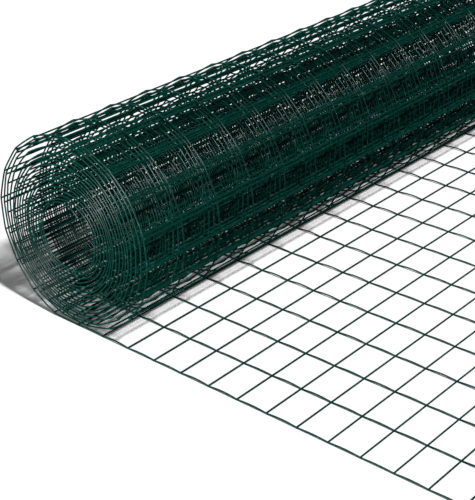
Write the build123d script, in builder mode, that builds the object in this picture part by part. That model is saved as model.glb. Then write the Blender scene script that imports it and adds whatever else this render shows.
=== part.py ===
from build123d import *
import math
import os

os.makedirs("parts", exist_ok=True)

# A roll of welded wire fence, partly unrolled on a level floor. Millimetres, +Z up.
# The roll's axis runs along X, and the laid end of the fence runs out towards -Y.
# The origin is on the floor, at the middle of the whole object's outline.

# The mesh: line wires run the length of the fence, cross wires run across it.
wire_d = 2.4                # coated wire, measured across the flats of its bar
line_wire_spacing = 75.0
cross_wire_spacing = 50.0
cells_across = 16
fence_length = 11450.0      # the laid part and the turns counted on the roll's end
weld_sink = 0.3             # how deep a weld presses a cross wire into a line wire
wire_end = 0.5              # wire left past the side of the last wire it crosses

# The rolled part of the fence.
roll_r = 146.0
bore_r = 49.0
loose_turns = 4             # outer turns that have sprung open
loose_pitch = 7.5
turn_groove = 4.0           # depth of the gap that shows between turns on each end
cone = 6.0                  # how far the innermost turn has slid out of the near end
seat_gap = 0.1              # between the laid mesh and the roll that lies on it

# The laid part, counted in cells ahead of the first cross wire in front of the roll.
first_cross_ahead = 57.0    # from the line the roll rests on to that cross wire
cells_ahead = 13
cells_under = 2

wire_sides = 6
stub = wire_d / 2 + wire_end
mesh_width = cells_across * line_wire_spacing
edge_width = mesh_width + 2 * stub
mesh_thickness = 2 * wire_d - weld_sink

cells_laid = cells_ahead + cells_under
laid_length = cells_laid * cross_wire_spacing
front_reach = first_cross_ahead + cells_ahead * cross_wire_spacing + stub

# The roll's axis and the mesh's middle, which put the outline's centre over the origin.
axis_y = (front_reach - roll_r) / 2
axis_z = mesh_thickness + seat_gap + roll_r
mesh_x = cone / 2
laid_mid_y = axis_y - first_cross_ahead - (cells_ahead - cells_under) / 2 * cross_wire_spacing

# The turns that the rest of the fence makes between the bore and the outside.
mean_turn = math.pi * (roll_r + bore_r)
turns = round((fence_length - laid_length) / mean_turn)
tight_turns = turns - loose_turns
tight_pitch = (roll_r - loose_turns * loose_pitch - bore_r) / tight_turns


def turn_radius(turn):
    """Outer radius of a turn, counted inwards from 0 at the outside of the roll."""
    loose = min(turn, loose_turns)
    return roll_r - loose * loose_pitch - (turn - loose) * tight_pitch


def slide(radius):
    """How far the turn at a radius has slid along the axis towards the near end."""
    return cone * (roll_r - radius) / (roll_r - bore_r)


def end_outline(side):
    """Crests and grooves of one end, from the outside in. side is -1 near, 1 far."""
    points = []
    edge = mesh_x + side * edge_width / 2
    for turn in range(turns):
        crest = turn_radius(turn)
        groove = (crest + turn_radius(turn + 1)) / 2
        points.append((edge - slide(crest), crest))
        points.append((edge - slide(groove) - side * turn_groove, groove))
    points.append((edge - slide(bore_r), bore_r))
    return points


# The roll: one solid turned about its axis, with its bore and the turns on its ends.
roll_plane = Plane(origin=(0, axis_y, axis_z), x_dir=(1, 0, 0), z_dir=(0, -1, 0))
with BuildPart() as roll:
    with BuildSketch(roll_plane):
        with BuildLine():
            Polyline(end_outline(-1) + end_outline(1)[::-1], close=True)
        make_face()
    revolve(axis=Axis((0, axis_y, axis_z), (1, 0, 0)))
roll.part.label = "roll"
export_step(roll.part, "parts/roll.step")

# The laid mesh: line wires on the floor, with the cross wires welded on top of them.
line_plane = Plane(
    origin=(mesh_x, laid_mid_y + laid_length / 2 + stub, wire_d / 2),
    x_dir=(1, 0, 0),
    z_dir=(0, -1, 0),
)
cross_plane = Plane(
    origin=(mesh_x - edge_width / 2, laid_mid_y, 1.5 * wire_d - weld_sink),
    x_dir=(0, 1, 0),
    z_dir=(1, 0, 0),
)
with BuildPart() as laid_mesh:
    with BuildSketch(line_plane):
        with GridLocations(line_wire_spacing, 1, cells_across + 1, 1):
            RegularPolygon(wire_d / 2, wire_sides, major_radius=False)
    extrude(amount=laid_length + 2 * stub)
    with BuildSketch(cross_plane):
        with GridLocations(cross_wire_spacing, 1, cells_laid + 1, 1):
            RegularPolygon(wire_d / 2, wire_sides, major_radius=False)
    extrude(amount=edge_width)
laid_mesh.part.label = "laid_mesh"
export_step(laid_mesh.part, "parts/laid_mesh.step")
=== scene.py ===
import math

import bpy
import numpy as np
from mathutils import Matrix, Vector


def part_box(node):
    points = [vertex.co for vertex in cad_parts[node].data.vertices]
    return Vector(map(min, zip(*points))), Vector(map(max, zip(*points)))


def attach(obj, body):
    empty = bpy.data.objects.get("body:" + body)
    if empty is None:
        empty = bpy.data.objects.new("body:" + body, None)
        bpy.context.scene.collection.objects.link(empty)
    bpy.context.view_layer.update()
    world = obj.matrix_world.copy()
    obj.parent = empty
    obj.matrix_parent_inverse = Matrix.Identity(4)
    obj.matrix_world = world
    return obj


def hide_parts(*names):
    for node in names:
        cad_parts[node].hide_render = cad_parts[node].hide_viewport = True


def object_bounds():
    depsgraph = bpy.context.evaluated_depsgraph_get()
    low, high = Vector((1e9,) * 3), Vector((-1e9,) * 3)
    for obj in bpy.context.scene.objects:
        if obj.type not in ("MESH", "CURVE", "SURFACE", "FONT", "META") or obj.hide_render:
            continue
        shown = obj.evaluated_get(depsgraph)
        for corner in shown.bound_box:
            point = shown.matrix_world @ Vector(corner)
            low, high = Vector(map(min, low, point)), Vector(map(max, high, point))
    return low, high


# A partly unrolled roll of plastic-coated welded fence, made wire by wire, in metres.
# The roll's axis runs along X, the laid end runs out towards -Y, and +Z is up.

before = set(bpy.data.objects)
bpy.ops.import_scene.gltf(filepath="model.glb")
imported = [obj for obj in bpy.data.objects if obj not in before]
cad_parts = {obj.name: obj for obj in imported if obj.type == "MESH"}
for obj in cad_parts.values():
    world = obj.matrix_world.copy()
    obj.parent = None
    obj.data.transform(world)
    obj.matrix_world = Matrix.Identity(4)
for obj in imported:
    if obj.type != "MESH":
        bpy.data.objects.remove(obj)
cad_low, cad_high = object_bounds()
roll_low, roll_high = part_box("roll")
laid_low, laid_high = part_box("laid_mesh")

MM = 0.001
rng = np.random.default_rng(7)

# The mesh: line wires run the length of the fence, cross wires run across it.
WELD_SINK = 0.3 * MM
WIRE_RADIUS = (laid_high.z - laid_low.z + WELD_SINK) / 4
LAYER = 2 * WIRE_RADIUS - WELD_SINK         # from the line wires to the cross wires
BEAD_RADIUS = 1.3 * WIRE_RADIUS             # of the coating that fills a weld
CELL_ACROSS = 75 * MM
CELL_ALONG = 50 * MM
CELLS_ACROSS = 16
WIDTH = CELLS_ACROSS * CELL_ACROSS
STUB = (laid_high.x - laid_low.x - WIDTH) / 2
FENCE_LENGTH = 11.45

# A station is a cross wire, counted from the free end of the laid part.
STATIONS = round(FENCE_LENGTH / CELL_ALONG) + 1
LAST_LAID = round((laid_high.y - laid_low.y - 2 * STUB) / CELL_ALONG)
FIRST_X = laid_low.x + STUB
AXIS_Y = (roll_low.y + roll_high.y) / 2
AXIS_Z = (roll_low.z + roll_high.z) / 2
CONE_SHARE = 0.9                            # of the room that the CAD leaves for the cone
CONE = CONE_SHARE * (roll_high.x - roll_low.x - WIDTH - 2 * STUB)
LIFT_OFF = 0.3 * AXIS_Z                     # length over which the fence leaves the floor
NEAR_LIMIT = cad_low.x + WIRE_RADIUS
FAR_LIMIT = cad_high.x - WIRE_RADIUS
END_TILT = 0.1 * MM                         # a bowed cross wire's cut end leans out so far

# The roll's shape at the bottom, back, top and front of its axis: the radius of its outer
# and innermost line wires, and the gaps under its sprung outer turns, outermost first.
FIRST_PASS = (0.0, 0.25, 0.5, 0.75)         # the turn at which the fence first gets there
OUTSIDE = (AXIS_Z - WIRE_RADIUS, 143.8 * MM, 143.8 * MM, 148.6 * MM)
HOLE = (56.0 * MM, 49.0 * MM, 46.5 * MM, 52.5 * MM)
LOOSE_TURNS = 4
LOOSE_GAPS = (
    (4.3 * MM, 4.4 * MM, 4.8 * MM, 5.2 * MM),
    (6.3 * MM, 6.8 * MM, 7.2 * MM, 7.2 * MM),
    (4.2 * MM, 4.5 * MM, 8.0 * MM, 10.0 * MM),
    (9.5 * MM, 9.2 * MM, 8.7 * MM, 6.7 * MM),
)
TURNS = 17.6
STEPS_PER_TURN = 240
INNER_SLACK = 1 * MM                        # wound line left past the last cross wire
FOOT = ((0.06, 0.14, 5.5 * MM), (0.87, 0.13, 3.5 * MM))     # bulges at turn, half width, size
# The tight turns lie in bunches, so their pitch swings by this much, over so many turns.
BUNCH_SWING = 1.2 * MM
BUNCH_TURNS = 6.6
FIRST_BUNCH = 4.4
# The inner end of the fence has sprung free of the last turn, into the hole.
FREE_END_TURN = 0.17
FREE_END_DROP = 10 * MM

# Between two welds the fence keeps this share of its turn's curve, at these radii. The
# outer turns are straighter there than the inner ones.
CURVE_RADII = (60 * MM, 140 * MM)
CURVE_SHARES = (0.85, 0.35)
# Each span of a laid line wire arches up. The share is at the free end and at the roll.
ARCH_RANGE = (1.2 * MM, 2.2 * MM)
ARCH_SHARES = (0.7, 1.1)

# How far each cross wire may stray: in or out of its turn, bowed, and along the axis.
LIFT_RANGE = (-0.4 * MM, 0.3 * MM)
BOW_RANGE = (-0.5 * MM, 0.5 * MM)
SLIP_RANGE = (-0.4 * MM, 0.4 * MM)
CUT_RANGE = (0.7, 1.0)                      # of the stub that a cut cross wire keeps

# The outer turns show singly, so their line wires are a piece of their own, and rounder.
OUTER_TURNS = 4.3
LAID_STEPS = 6                              # points along each span
WOUND_STEPS = 5
ROUNDING = 1e-9                             # keeps a whole station from rounding down
OUTER_SIDES = 8
INNER_SIDES = 6


def by_side(angle, bottom, back, top, front):
    """A size that runs smoothly round the roll through its values on the four sides."""
    upright = (bottom + top) / 2
    level = (back + front) / 2
    return (
        (upright + level) / 2
        + (upright - level) / 2 * np.cos(2 * angle)
        + (bottom - top) / 2 * np.cos(angle)
        + (back - front) / 2 * np.sin(angle)
    )


def wind():
    """The fence's line in the roll, as fine steps of turn, y, z and length from the floor."""
    turn = np.linspace(0, TURNS, round(TURNS * STEPS_PER_TURN))
    angle = 2 * math.pi * turn
    depths = []
    for side in range(4):
        passes = turn - FIRST_PASS[side]
        gaps = np.cumsum((0.0,) + LOOSE_GAPS[side])
        inside = OUTSIDE[side] - HOLE[side]
        steps = (*range(LOOSE_TURNS + 1), TURNS - FIRST_PASS[side])
        depths.append(np.interp(passes, steps, np.append(gaps, inside)))
    radius = by_side(angle, *OUTSIDE) - by_side(angle, *depths)
    bunch_phase = 2 * math.pi * (turn - FIRST_BUNCH) / BUNCH_TURNS
    bunched = np.interp(turn, [LOOSE_TURNS, FIRST_BUNCH, TURNS - 1, TURNS], [0, 1, 1, 0])
    radius += BUNCH_SWING * BUNCH_TURNS / (2 * math.pi) * np.sin(bunch_phase) * bunched
    radius -= FREE_END_DROP * np.clip(1 - (TURNS - turn) / FREE_END_TURN, 0, 1) ** 2
    for place, half, size in FOOT:
        radius += size * np.cos(np.clip((turn - place) / half, -1, 1) * math.pi / 2) ** 2
    y = AXIS_Y + radius * np.sin(angle)
    z = AXIS_Z - radius * np.cos(angle)
    # Each turn lies on the one below it, and the first one on the floor.
    bed = WIRE_RADIUS + (LAYER + 2 * WIRE_RADIUS) * np.floor(turn + 0.5)
    z = np.maximum(z, bed)
    length = np.append(0, np.cumsum(np.hypot(np.diff(y), np.diff(z))))
    return turn, y, z, length


WOUND_TURN, WOUND_Y, WOUND_Z, WOUND_LENGTH = wind()
START = laid_low.y + STUB - AXIS_Y          # the free end, from where the roll meets the floor
ARC_PER_CELL = (WOUND_LENGTH[-1] - INNER_SLACK) / (START + (STATIONS - 1) * CELL_ALONG)


def fence_length(station):
    """Length from where the roll meets the floor. Welds cut the corners of the curve."""
    flat = START + np.asarray(station, float) * CELL_ALONG
    return np.where(flat > 0, flat * ARC_PER_CELL, flat)


def fence_line(length):
    """Places (y, z) of the line wires at some lengths, and which way is out of the roll."""
    wound = np.maximum(length, 0)
    place = np.stack(
        [np.interp(wound, WOUND_LENGTH, WOUND_Y), np.interp(wound, WOUND_LENGTH, WOUND_Z)], -1
    )
    flat = length < 0
    place[flat, 0] = AXIS_Y + length[flat]
    out = place - (AXIS_Y, AXIS_Z)
    out /= np.linalg.norm(out, axis=-1, keepdims=True)
    out[length < LIFT_OFF] = (0.0, -1.0)
    return place, out


def slide(radius):
    """How far a turn has slid out of the near end, towards -X."""
    return CONE * np.clip((OUTSIDE[1] - radius) / (OUTSIDE[1] - HOLE[1]), 0, 1)


lifts = rng.uniform(*LIFT_RANGE, STATIONS)
bows = rng.uniform(*BOW_RANGE, STATIONS)
bow_starts = rng.uniform(0, 2 * math.pi, STATIONS)
slips = rng.uniform(*SLIP_RANGE, STATIONS)
arches = rng.uniform(*ARCH_RANGE, (CELLS_ACROSS + 1, LAST_LAID + 1))


def stray(station, across):
    """How far a cross wire stands out of its turn at a distance across the fence."""
    return lifts[station] + bows[station] * np.sin(2 * math.pi * across / WIDTH + bow_starts[station])


def line_wire(wire, first, last, steps):
    """Points along one line wire between two stations."""
    station = np.linspace(first, last, (last - first) * steps + 1)
    before = np.minimum(np.floor(station + ROUNDING).astype(int), STATIONS - 2)
    share = station - before
    length = fence_length(station)
    place, out = fence_line(length)
    weld_before, _ = fence_line(fence_length(before))
    weld_after, _ = fence_line(fence_length(before + 1))
    straight = weld_before + (weld_after - weld_before) * share[:, None]
    radius = np.hypot(place[:, 0] - AXIS_Y, place[:, 1] - AXIS_Z)
    curved = np.interp(radius, CURVE_RADII, CURVE_SHARES)[:, None]
    place = straight * (1 - curved) + place * curved
    wound = np.clip(length / LIFT_OFF, 0, 1)
    across = wire * CELL_ACROSS
    lift = stray(before, across) * (1 - share) + stray(before + 1, across) * share
    slip = slips[before] * (1 - share) + slips[before + 1] * share
    place = place + out * (lift * wound)[:, None]
    place[:, 1] = np.maximum(place[:, 1], WIRE_RADIUS)
    # On the floor each span keeps a little of the roll's curve and arches up.
    arch = arches[wire, np.minimum(before, LAST_LAID)]
    arch = arch * np.interp(length, [START, 0], ARCH_SHARES)
    place[:, 1] += np.where(length < 0, arch * np.sin(math.pi * share), 0)
    x = FIRST_X + across + (slip - slide(radius)) * wound
    return np.column_stack([np.clip(x, NEAR_LIMIT, FAR_LIMIT), place])


def past_end(path, distance):
    """The path carried on a little past its last point, but not into the floor."""
    step = path[-1] - path[-2]
    end = path[-1] + step / np.linalg.norm(step) * distance
    end[2] = max(end[2], WIRE_RADIUS)
    return np.vstack([path, end])


def cross_wire(station):
    """Points along one cross wire, from past the near edge to past the far edge."""
    ends = STUB * rng.uniform(*CUT_RANGE, 2)
    across = np.linspace(0, WIDTH, 2 * CELLS_ACROSS + 1)
    across = np.concatenate([[-ends[0]], across, [WIDTH + ends[1]]])
    length = fence_length([station])
    place, out = fence_line(length)
    radius = np.hypot(place[0, 0] - AXIS_Y, place[0, 1] - AXIS_Z)
    wound = np.clip(length[0] / LIFT_OFF, 0, 1)
    inwards = stray(station, across) * wound - LAYER
    x = FIRST_X + across + (slips[station] - slide(radius)) * wound
    x = np.clip(x, cad_low.x + END_TILT, cad_high.x - END_TILT)
    return np.column_stack([x, place + out * inwards[:, None]])


def weld_points(cross_wires):
    """The middle of every weld on some cross wires, halfway out to the line wires."""
    # A cross wire has a point at each cut end, and then one at and between the line wires.
    points = np.concatenate([wire[1:-1:2] for wire in cross_wires])
    out = points[:, 1:] - (AXIS_Y, AXIS_Z)
    out /= np.linalg.norm(out, axis=1, keepdims=True)
    out[points[:, 1] < AXIS_Y - OUTSIDE[3]] = (0.0, -1.0)
    points[:, 1:] += out * LAYER / 2
    points[:, 0] = np.clip(points[:, 0], cad_low.x + BEAD_RADIUS, cad_high.x - BEAD_RADIUS)
    return points


def add_node(tree, kind, inputs=None, **settings):
    """Adds a node. Each input is a value, or an output socket of another node."""
    node = tree.nodes.new(kind)
    for name, value in settings.items():
        setattr(node, name, value)
    for name, value in (inputs or {}).items():
        if isinstance(value, bpy.types.NodeSocket):
            tree.links.new(value, node.inputs[name])
        else:
            node.inputs[name].default_value = value
    return node


def start_tree(name, sizes):
    """A Geometry Nodes tree with its named inputs. Returns it with its input node."""
    tree = bpy.data.node_groups.new(name, "GeometryNodeTree")
    tree.interface.new_socket("Geometry", in_out="INPUT", socket_type="NodeSocketGeometry")
    for label, kind in sizes.items():
        tree.interface.new_socket(label, in_out="INPUT", socket_type=kind)
    tree.interface.new_socket("Geometry", in_out="OUTPUT", socket_type="NodeSocketGeometry")
    return tree, add_node(tree, "NodeGroupInput")


def end_tree(tree, geometry, material):
    """Ends a tree in Realize Instances and Set Material."""
    real = add_node(tree, "GeometryNodeRealizeInstances", {0: geometry})
    smooth = add_node(tree, "GeometryNodeSetShadeSmooth", {0: real.outputs[0]})
    coated = add_node(
        tree, "GeometryNodeSetMaterial", {"Geometry": smooth.outputs[0], "Material": material}
    )
    add_node(tree, "NodeGroupOutput", {0: coated.outputs[0]})


def wire_tree(material):
    """Draws a round wire, closed at its ends, along every chain of edges."""
    tree, given = start_tree(
        "wire_along_path", {"Wire radius": "NodeSocketFloat", "Sides": "NodeSocketInt"}
    )
    line = add_node(tree, "GeometryNodeMeshToCurve", {0: given.outputs["Geometry"]})
    ring = add_node(
        tree,
        "GeometryNodeCurvePrimitiveCircle",
        {"Resolution": given.outputs["Sides"], "Radius": given.outputs["Wire radius"]},
    )
    wire = add_node(
        tree,
        "GeometryNodeCurveToMesh",
        {"Curve": line.outputs[0], "Profile Curve": ring.outputs[0], "Fill Caps": True},
    )
    end_tree(tree, wire.outputs[0], material)
    return tree


def weld_tree(material):
    """Puts a bead of coating at every point, where it fills the corner of a weld."""
    tree, given = start_tree("weld_beads", {"Bead radius": "NodeSocketFloat"})
    bead = add_node(
        tree, "GeometryNodeMeshIcoSphere", {"Radius": given.outputs["Bead radius"], "Subdivisions": 1}
    )
    spread = add_node(
        tree,
        "GeometryNodeInstanceOnPoints",
        {"Points": given.outputs["Geometry"], "Instance": bead.outputs[0]},
    )
    end_tree(tree, spread.outputs[0], material)
    return tree


def make_piece(name, paths, tree, sizes, node):
    """Runs a tree on some paths, chained point to point, and keeps one plain mesh."""
    edges = []
    count = 0
    for path in paths:
        edges += [(i, i + 1) for i in range(count, count + len(path) - 1)]
        count += len(path)
    bare = bpy.data.meshes.new(name + "_paths")
    bare.from_pydata(np.concatenate(paths).tolist(), edges, [])
    source = bpy.data.objects.new(name + "_paths", bare)
    bpy.context.scene.collection.objects.link(source)
    modifier = source.modifiers.new(name, "NODES")
    modifier.node_group = tree
    for item in tree.interface.items_tree:
        if item.name in sizes:
            modifier[item.identifier] = sizes[item.name]
    made = source.evaluated_get(bpy.context.evaluated_depsgraph_get())
    mesh = bpy.data.meshes.new_from_object(made)
    mesh.name = name
    source.modifiers.remove(modifier)
    bpy.data.objects.remove(source)
    piece = bpy.data.objects.new(name, mesh)
    bpy.context.scene.collection.objects.link(piece)
    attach(piece, "root")
    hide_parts(node)


def linear(hex_colour):
    """sRGB hex to the linear colour that a shader reads."""
    parts = [int(hex_colour[i:i + 2], 16) / 255 for i in (1, 3, 5)]
    return tuple(c / 12.92 if c <= 0.04045 else ((c + 0.055) / 1.055) ** 2.4 for c in parts) + (1,)


def extruded_pvc():
    """PVC extruded over galvanised steel wire: a smooth, half glossy, very dark green coat."""
    material = bpy.data.materials.new("extruded_pvc_dark_green")
    material.use_nodes = True
    tree = material.node_tree
    shader = tree.nodes["Principled BSDF"]
    place = add_node(tree, "ShaderNodeTexCoord")
    # The coat's thickness, and with it the depth of the green, drifts over a hand's width.
    drift = add_node(
        tree,
        "ShaderNodeTexNoise",
        {"Vector": place.outputs["Object"], "Scale": 1 / (80 * MM), "Detail": 2.0},
    )
    colour = add_node(
        tree,
        "ShaderNodeMix",
        {"Factor": drift.outputs["Fac"], "A": linear("#00362E"), "B": linear("#014138")},
        data_type="RGBA",
    )
    # Where turns have rubbed, patches a few millimetres long are paler and less glossy.
    patches = add_node(
        tree,
        "ShaderNodeTexNoise",
        {"Vector": place.outputs["Object"], "Scale": 1 / (7 * MM), "Detail": 3.0},
    )
    rubbed = add_node(
        tree,
        "ShaderNodeMapRange",
        {"Value": patches.outputs["Fac"], "From Min": 0.58, "From Max": 0.72},
    )
    worn = add_node(
        tree,
        "ShaderNodeMix",
        {"Factor": rubbed.outputs[0], "A": colour.outputs["Result"], "B": linear("#1F6258")},
        data_type="RGBA",
    )
    gloss = add_node(
        tree,
        "ShaderNodeMapRange",
        {"Value": rubbed.outputs[0], "To Min": 0.32, "To Max": 0.5},
    )
    # The extruder leaves a faint orange peel, drawn coarser here than its real 0.3 mm.
    peel = add_node(
        tree,
        "ShaderNodeTexNoise",
        {"Vector": place.outputs["Object"], "Scale": 1 / (1.5 * MM), "Detail": 1.0},
    )
    relief = add_node(
        tree,
        "ShaderNodeBump",
        {"Height": peel.outputs["Fac"], "Strength": 0.3, "Distance": 0.05 * MM},
    )
    tree.links.new(worn.outputs["Result"], shader.inputs["Base Color"])
    tree.links.new(gloss.outputs[0], shader.inputs["Roughness"])
    tree.links.new(relief.outputs["Normal"], shader.inputs["Normal"])
    shader.inputs["IOR"].default_value = 1.53
    shader.inputs["Specular IOR Level"].default_value = 0.3
    return material


coat = extruded_pvc()
wires = wire_tree(coat)
beads = weld_tree(coat)
outer_length = np.interp(OUTER_TURNS, WOUND_TURN, WOUND_LENGTH) / ARC_PER_CELL
last_outer = int((outer_length - START) / CELL_ALONG)
all_wires = range(CELLS_ACROSS + 1)
rounder = {"Wire radius": WIRE_RADIUS, "Sides": OUTER_SIDES}
plainer = {"Wire radius": WIRE_RADIUS, "Sides": INNER_SIDES}
bead = {"Bead radius": BEAD_RADIUS}

laid_line = [past_end(line_wire(w, 0, LAST_LAID, LAID_STEPS)[::-1], STUB) for w in all_wires]
make_piece("laid_line_wires", laid_line, wires, rounder, "laid_mesh")
laid_cross = [cross_wire(s) for s in range(LAST_LAID + 1)]
make_piece("laid_cross_wires", laid_cross, wires, rounder, "laid_mesh")
outer_line = [line_wire(w, LAST_LAID, last_outer, WOUND_STEPS) for w in all_wires]
make_piece("outer_line_wires", outer_line, wires, rounder, "roll")
inner_line = [
    past_end(line_wire(w, last_outer, STATIONS - 1, WOUND_STEPS), STUB) for w in all_wires
]
make_piece("inner_line_wires", inner_line, wires, plainer, "roll")
wound_cross = [cross_wire(s) for s in range(LAST_LAID + 1, STATIONS)]
make_piece("wound_cross_wires", wound_cross, wires, plainer, "roll")
make_piece("laid_weld_beads", [weld_points(laid_cross)], beads, bead, "laid_mesh")
make_piece("wound_weld_beads", [weld_points(wound_cross)], beads, bead, "roll")

# White studio paper. The camera sees it brighter than it is, and it keeps the shadow.
FLOOR_SIZE = 14
PAPER_SEEN = (1.2, 1.2, 1.2, 1)
PAPER_ELSEWHERE = (0.05, 0.05, 0.05, 1)
PAPER_GLOW = 0.08
bpy.ops.mesh.primitive_plane_add(size=FLOOR_SIZE)
floor = bpy.context.active_object
floor.name = "floor"
paper = bpy.data.materials.new("matt_white_paper")
paper.use_nodes = True
tree = paper.node_tree
tree.nodes.clear()
ray = add_node(tree, "ShaderNodeLightPath")
lit_seen = add_node(tree, "ShaderNodeBsdfDiffuse", {"Color": PAPER_SEEN})
lit = add_node(tree, "ShaderNodeBsdfDiffuse", {"Color": PAPER_ELSEWHERE})
white = add_node(tree, "ShaderNodeEmission", {"Strength": PAPER_GLOW})
seen = add_node(tree, "ShaderNodeAddShader", {0: lit_seen.outputs[0], 1: white.outputs[0]})
both = add_node(
    tree,
    "ShaderNodeMixShader",
    {0: ray.outputs["Is Camera Ray"], 1: lit.outputs[0], 2: seen.outputs[0]},
)
add_node(tree, "ShaderNodeOutputMaterial", {"Surface": both.outputs[0]})
floor.data.materials.append(paper)

# The camera sees a white backdrop, which hardly lights the fence.
BACKDROP = (1, 1, 1, 1)
BACKDROP_LIGHT = 0.01
world = bpy.data.worlds.new("studio")
bpy.context.scene.world = world
world.use_nodes = True
tree = world.node_tree
tree.nodes.clear()
ray = add_node(tree, "ShaderNodeLightPath")
dim = add_node(tree, "ShaderNodeBackground", {"Color": BACKDROP, "Strength": BACKDROP_LIGHT})
white = add_node(tree, "ShaderNodeBackground", {"Color": BACKDROP, "Strength": 1.0})
seen = add_node(
    tree,
    "ShaderNodeMixShader",
    {0: ray.outputs["Is Camera Ray"], 1: dim.outputs[0], 2: white.outputs[0]},
)
add_node(tree, "ShaderNodeOutputWorld", {"Surface": seen.outputs[0]})


def studio_light(name, towards, strength, spread):
    """A far lamp, which lights everything evenly. Spread is how wide it looks, in degrees."""
    lamp = bpy.data.lights.new(name, "SUN")
    lamp.energy = strength
    lamp.angle = math.radians(spread)
    stand = bpy.data.objects.new(name, lamp)
    bpy.context.scene.collection.objects.link(stand)
    stand.rotation_euler = Vector(towards).to_track_quat("Z", "Y").to_euler()


# The key stands over the front, so the shadow falls behind the roll. The other lamp shines
# along the axis, so it lights the rings of the near end and leaves the hole dark.
studio_light("key_light", (-0.12, -0.57, 0.81), 3.0, 6)
studio_light("near_end_light", (-1.0, 0.15, 0.04), 3.5, 3)

# The camera stands where the crossings of the laid mesh put it.
camera = bpy.data.cameras.new("camera")
camera.sensor_width = 36
camera.lens = 98.36
eye = bpy.data.objects.new("camera", camera)
bpy.context.scene.collection.objects.link(eye)
eye.location = (-1.7533, -0.9970, 1.0156)
LOOK_DOWN = 27.63
LOOK_ROUND = -49.96
eye.rotation_euler = (math.radians(90 - LOOK_DOWN), 0, math.radians(LOOK_ROUND))
bpy.context.scene.camera = eye
bpy.context.scene.view_settings.view_transform = "Standard"
